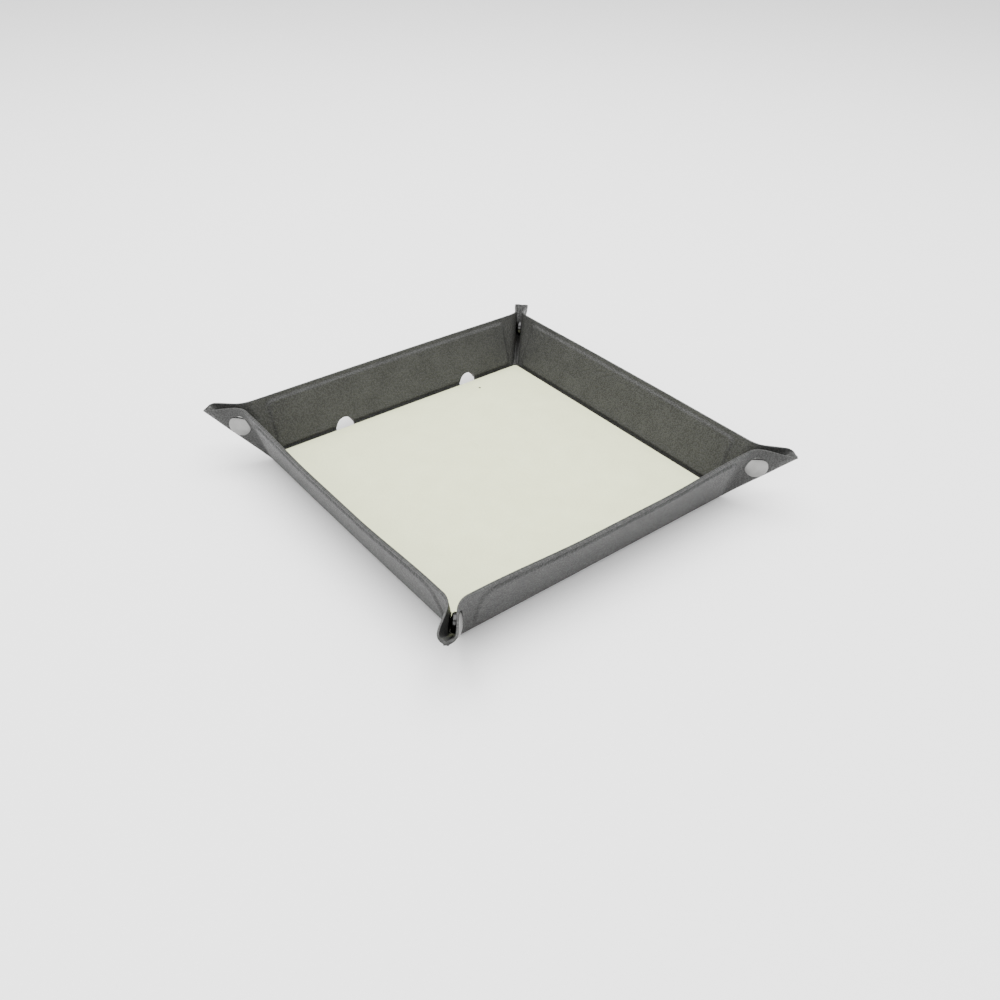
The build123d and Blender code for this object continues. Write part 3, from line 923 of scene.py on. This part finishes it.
# ---- Charger: case and lid ------------------------------------------------------
# A shallow moulded tray and a flat lid, in black plastic with a fine spark-eroded
# texture. The lid is glued on after the coil and circuit are in.
def moulded(name, dark, light, roughness, grain, depth):
    """An even finish, such as moulded plastic's: fine texture, with faint flow marks in its colour."""
    material = bpy.data.materials.new(name)
    material.use_nodes = True
    flow = speckle(material, 45, 3)
    fine = speckle(material, grain, 2)
    coloured(material, flow, dark, light)
    glossed(material, fine, roughness - 0.08, roughness + 0.08)
    embossed(material, fine, depth)
    return material


black_plastic = moulded(
    "moulded_black_plastic", (0.012, 0.012, 0.012), (0.022, 0.022, 0.022), 0.5, 3200, 0.00002
)
given_to("charger_case", black_plastic)
given_to("charger_lid", black_plastic)


# ---- Charger: coil on its ferrite and foam ---------------------------------------
# A flat coil of enamelled copper wire, wound side by side from the middle out. It
# is bonded to a square of pressed ferrite, which sits on a sheet of soft foam.
coil_low, coil_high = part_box("charging_coil")
wire_radius = 0.62 * mm
coil_turns = 10.0
coil_inner = 10.7 * mm          # to the middle of the first turn's wire
coil_outer = 22.3 * mm


def coil_tree(finish):
    """A spiral of round wire: inner and outer radius, turns and wire radius set its shape."""
    tree = bpy.data.node_groups.new("wound_coil", "GeometryNodeTree")
    for socket in ("Inner Radius", "Outer Radius", "Turns", "Wire Radius"):
        tree.interface.new_socket(socket, in_out="INPUT", socket_type="NodeSocketFloat")
    tree.interface.new_socket("Centre", in_out="INPUT", socket_type="NodeSocketVector")
    tree.interface.new_socket("Geometry", in_out="OUTPUT", socket_type="NodeSocketGeometry")
    nodes, links = tree.nodes, tree.links
    given = nodes.new("NodeGroupInput")
    spiral = nodes.new("GeometryNodeCurveSpiral")
    spiral.inputs["Resolution"].default_value = 72
    spiral.inputs["Height"].default_value = 0
    links.new(given.outputs["Turns"], spiral.inputs["Rotations"])
    links.new(given.outputs["Inner Radius"], spiral.inputs["Start Radius"])
    links.new(given.outputs["Outer Radius"], spiral.inputs["End Radius"])
    section = nodes.new("GeometryNodeCurvePrimitiveCircle")
    section.inputs["Resolution"].default_value = 14
    links.new(given.outputs["Wire Radius"], section.inputs["Radius"])
    wire = nodes.new("GeometryNodeCurveToMesh")
    wire.inputs["Fill Caps"].default_value = True
    links.new(spiral.outputs[0], wire.inputs["Curve"])
    links.new(section.outputs["Curve"], wire.inputs["Profile Curve"])
    placed = nodes.new("GeometryNodeTransform")
    links.new(wire.outputs[0], placed.inputs["Geometry"])
    links.new(given.outputs["Centre"], placed.inputs["Translation"])
    real = nodes.new("GeometryNodeRealizeInstances")
    links.new(placed.outputs[0], real.inputs[0])
    finished = nodes.new("GeometryNodeSetMaterial")
    finished.inputs["Material"].default_value = finish
    links.new(real.outputs[0], finished.inputs["Geometry"])
    result = nodes.new("NodeGroupOutput")
    links.new(finished.outputs[0], result.inputs[0])
    return tree


def grown(name, tree, values):
    """The plain mesh that a tree makes with those values for its named inputs."""
    holder = bpy.data.objects.new(f"{name}_tree", bpy.data.meshes.new(name))
    bpy.context.scene.collection.objects.link(holder)
    modifier = holder.modifiers.new("grown", "NODES")
    modifier.node_group = tree
    for socket in tree.interface.items_tree:
        if socket.name in values:
            modifier[socket.identifier] = values[socket.name]
    holder.update_tag()
    bpy.context.view_layer.update()
    evaluated = holder.evaluated_get(bpy.context.evaluated_depsgraph_get())
    mesh = bpy.data.meshes.new_from_object(evaluated)
    holder.modifiers.remove(modifier)
    bpy.data.objects.remove(holder)
    mesh.name = name
    piece = bpy.data.objects.new(name, mesh)
    bpy.context.scene.collection.objects.link(piece)
    return piece


enamelled_copper = moulded(
    "enamelled_copper", (0.42, 0.16, 0.06), (0.6, 0.27, 0.1), 0.28, 900, 0.00001
)
enamelled_copper.node_tree.nodes["Principled BSDF"].inputs["Metallic"].default_value = 0.9
coil_middle = (coil_low + coil_high) / 2
coil = grown(
    "wound_charging_coil",
    coil_tree(enamelled_copper),
    {
        "Inner Radius": coil_inner,
        "Outer Radius": coil_outer,
        "Turns": coil_turns,
        "Wire Radius": wire_radius,
        "Centre": (coil_middle.x, coil_middle.y, coil_low.z + wire_radius),
    },
)
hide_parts("charging_coil")
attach(coil, "base")

pressed_ferrite = moulded(
    "pressed_ferrite", (0.018, 0.017, 0.018), (0.035, 0.033, 0.034), 0.62, 1500, 0.00003
)
soft_foam = moulded("soft_foam", (0.03, 0.03, 0.032), (0.06, 0.06, 0.062), 0.88, 1100, 0.0002)
given_to("ferrite_sheet", pressed_ferrite)
given_to("coil_foam", soft_foam)


# ---- Charger: circuit board, its parts and screws ----------------------------------
# A small green circuit board with chips soldered on, held to the case by four
# plated screws. The USB socket is soldered into a notch at its back edge.
green_board = moulded("green_board", (0.005, 0.07, 0.03), (0.01, 0.11, 0.045), 0.36, 700, 0.00002)
black_epoxy = moulded("black_epoxy", (0.012, 0.012, 0.013), (0.03, 0.03, 0.03), 0.48, 2600, 0.00001)
plated_steel = moulded("plated_steel", (0.55, 0.55, 0.54), (0.68, 0.68, 0.66), 0.27, 1300, 0.000005)
plated_steel.node_tree.nodes["Principled BSDF"].inputs["Metallic"].default_value = 1
given_to("circuit_board", green_board)
given_to("board_components", black_epoxy)
given_to("board_screws", plated_steel)
given_to("usb_c_shell", plated_steel)
given_to("usb_c_tongue", black_epoxy)


# ---- Status lamp and its light pipe --------------------------------------------------
# A tiny lamp is soldered in front of the USB socket. A short rod of smoked clear
# plastic over it shows as a dark dot in the floor when the lamp is off.
lamp_body = moulded("lamp_body", (0.55, 0.52, 0.36), (0.7, 0.67, 0.46), 0.4, 2000, 0.00001)
smoked_plastic = moulded(
    "smoked_clear_plastic", (0.003, 0.003, 0.003), (0.006, 0.006, 0.006), 0.4, 2000, 0.000005
)
smoked_plastic.node_tree.nodes["Principled BSDF"].inputs["Specular IOR Level"].default_value = 0.1
given_to("status_led", lamp_body)
given_to("light_pipe", smoked_plastic)


# ---- Floor pad: cream leather over a core board ------------------------------
# Smooth cream leather glued over the core board and rubbed down over its edges.
# A fine line pressed into it marks the charging side, and a small hole lets the
# status lamp's light pipe through.
pad_low, pad_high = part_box("pad_skin")
pad_half, pad_top = pad_high.x, pad_high.z
pad_corner = 1.5 * mm
pad_edge = 0.6 * mm
line_x = 10.5 * mm
line_slant = -0.062
line_half = 53 * mm
line_width = 0.5 * mm
line_depth = 0.25 * mm
lamp_low, lamp_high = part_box("light_pipe")
lamp_x, lamp_y = (lamp_low.x + lamp_high.x) / 2, (lamp_low.y + lamp_high.y) / 2
lamp_hole = 0.8 * mm


def pad_sheet():
    """The cream skin: rings of points from the middle of the top, out and down its sides."""
    ends = [-pad_half, pad_half]
    x_rows = steps(-pad_half, pad_half, 4 * mm, ends + [line_x], near=4.4 * mm, fine=0.22 * mm)
    y_rows = steps(-pad_half, pad_half, 4 * mm, ends, near=1.6 * mm, fine=0.2 * mm)
    top = np.meshgrid(x_rows, y_rows, indexing="ij")
    x, y = (np.concatenate([a, a[:, ::-1]], axis=1) for a in top)
    inner = pad_half - pad_corner
    x, y, outside = round_corners(x, y, (-inner, inner), (-inner, inner))
    inside_edge = pad_corner - outside
    round_over = pad_edge - np.sqrt(
        np.maximum(pad_edge**2 - np.maximum(pad_edge - inside_edge, 0) ** 2, 0)
    )
    line = line_depth * np.exp(-((x - line_x - line_slant * y) / line_width) ** 2 * 2)
    line *= smooth((line_half - np.abs(y)) / mm)
    upper = pad_top - round_over - line
    z = np.where(np.arange(y.shape[1])[None] < len(y_rows), upper, pad_low.z)
    mesh = flat_leather("pad_leather", x, y, z)
    return punched(mesh, [(lamp_x, lamp_y)], lamp_hole)


cream_leather = grained_leather(
    "cream_leather", (0.56, 0.59, 0.36), (0.76, 0.8, 0.52), 1400, 0.7, 0.00003, 0.5, 0.35
)
pad = set_in_place("pad_skin_leather", pad_sheet(), 0)
pad.data.materials.append(cream_leather)
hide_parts("pad_skin")
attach(pad, "base")


# ---- Floor, light and camera --------------------------------------------------
# A wide sheet of white paper in a white room, where a dark band above the horizon
# shows only in reflections. One large soft box hangs overhead, and two weak ones
# fill in from the left and the right.
bpy.ops.mesh.primitive_plane_add(size=12)
floor = bpy.context.object
floor.name = "floor"
paper = bpy.data.materials.new("white_paper")
paper.use_nodes = True
nodes, links = paper.node_tree.nodes, paper.node_tree.links
pulp = nodes.new("ShaderNodeTexNoise")
pulp.inputs["Scale"].default_value = 400
whites = nodes.new("ShaderNodeMix")
whites.data_type = "RGBA"
whites.inputs["A"].default_value = (0.94, 0.94, 0.94, 1)
whites.inputs["B"].default_value = (0.97, 0.97, 0.97, 1)
links.new(nodes.new("ShaderNodeTexCoord").outputs["Object"], pulp.inputs["Vector"])
links.new(pulp.outputs["Fac"], whites.inputs["Factor"])
links.new(whites.outputs["Result"], nodes["Principled BSDF"].inputs["Base Color"])
nodes["Principled BSDF"].inputs["Roughness"].default_value = 0.8
floor.data.materials.append(paper)

world = bpy.data.worlds.new("studio")
bpy.context.scene.world = world
world.use_nodes = True
nodes, links = world.node_tree.nodes, world.node_tree.links
nodes["Background"].inputs["Strength"].default_value = 1.5
height = nodes.new("ShaderNodeSeparateXYZ")
bands = nodes.new("ShaderNodeValToRGB")
bands.color_ramp.elements[0].position = 0.5
bands.color_ramp.elements[0].color = (1, 1, 1, 1)
bands.color_ramp.elements[1].position = 1
bands.color_ramp.elements[1].color = (1, 1, 1, 1)
for position, grey in ((0.505, 0.08), (0.64, 0.08), (0.72, 1)):
    bands.color_ramp.elements.new(position).color = (grey, grey, grey, 1)
upward_share = nodes.new("ShaderNodeMapRange")
upward_share.inputs["From Min"].default_value = -1
links.new(nodes.new("ShaderNodeTexCoord").outputs["Generated"], height.inputs[0])
links.new(height.outputs["Z"], upward_share.inputs["Value"])
links.new(upward_share.outputs[0], bands.inputs["Fac"])
seen = nodes.new("ShaderNodeMix")
seen.data_type = "RGBA"
seen.inputs["B"].default_value = (1, 1, 1, 1)
links.new(nodes.new("ShaderNodeLightPath").outputs["Is Camera Ray"], seen.inputs["Factor"])
links.new(bands.outputs["Color"], seen.inputs["A"])
links.new(seen.outputs["Result"], nodes["Background"].inputs["Color"])


def soft_light(name, place, size, power):
    """A square soft box that faces the middle of the tray."""
    lamp = bpy.data.lights.new(name, "AREA")
    lamp.size = size
    lamp.energy = power
    box = bpy.data.objects.new(name, lamp)
    box.location = place
    box.rotation_euler = (-Vector(place)).to_track_quat("-Z", "Y").to_euler()
    bpy.context.scene.collection.objects.link(box)


soft_light("overhead", (0.1, 0.2, 1.3), 1.4, 44)
soft_light("left_fill", (-1.0, -0.6, 0.7), 0.8, 8)
soft_light("right_fill", (1.0, -0.8, 0.6), 0.8, 2)

azimuth, elevation, roll = math.radians(-39.309), math.radians(36.539), math.radians(1.471)
distance = 0.52366
aim = Vector((-0.00971, -0.019, 0))
back = Vector(
    (
        math.sin(azimuth) * math.cos(elevation),
        -math.cos(azimuth) * math.cos(elevation),
        math.sin(elevation),
    )
)
across = Vector((0, 0, 1)).cross(back).normalized()
upward = back.cross(across)
right = math.cos(roll) * across + math.sin(roll) * upward
top = math.cos(roll) * upward - math.sin(roll) * across
camera = bpy.data.objects.new("camera", bpy.data.cameras.new("camera"))
camera.data.lens = 34.511
camera.data.sensor_width = 36
camera.data.clip_start = 0.01
axes = Matrix((right, top, back)).transposed().to_4x4()
camera.matrix_world = Matrix.Translation(aim + back * distance) @ axes
bpy.context.scene.collection.objects.link(camera)
bpy.context.scene.camera = camera
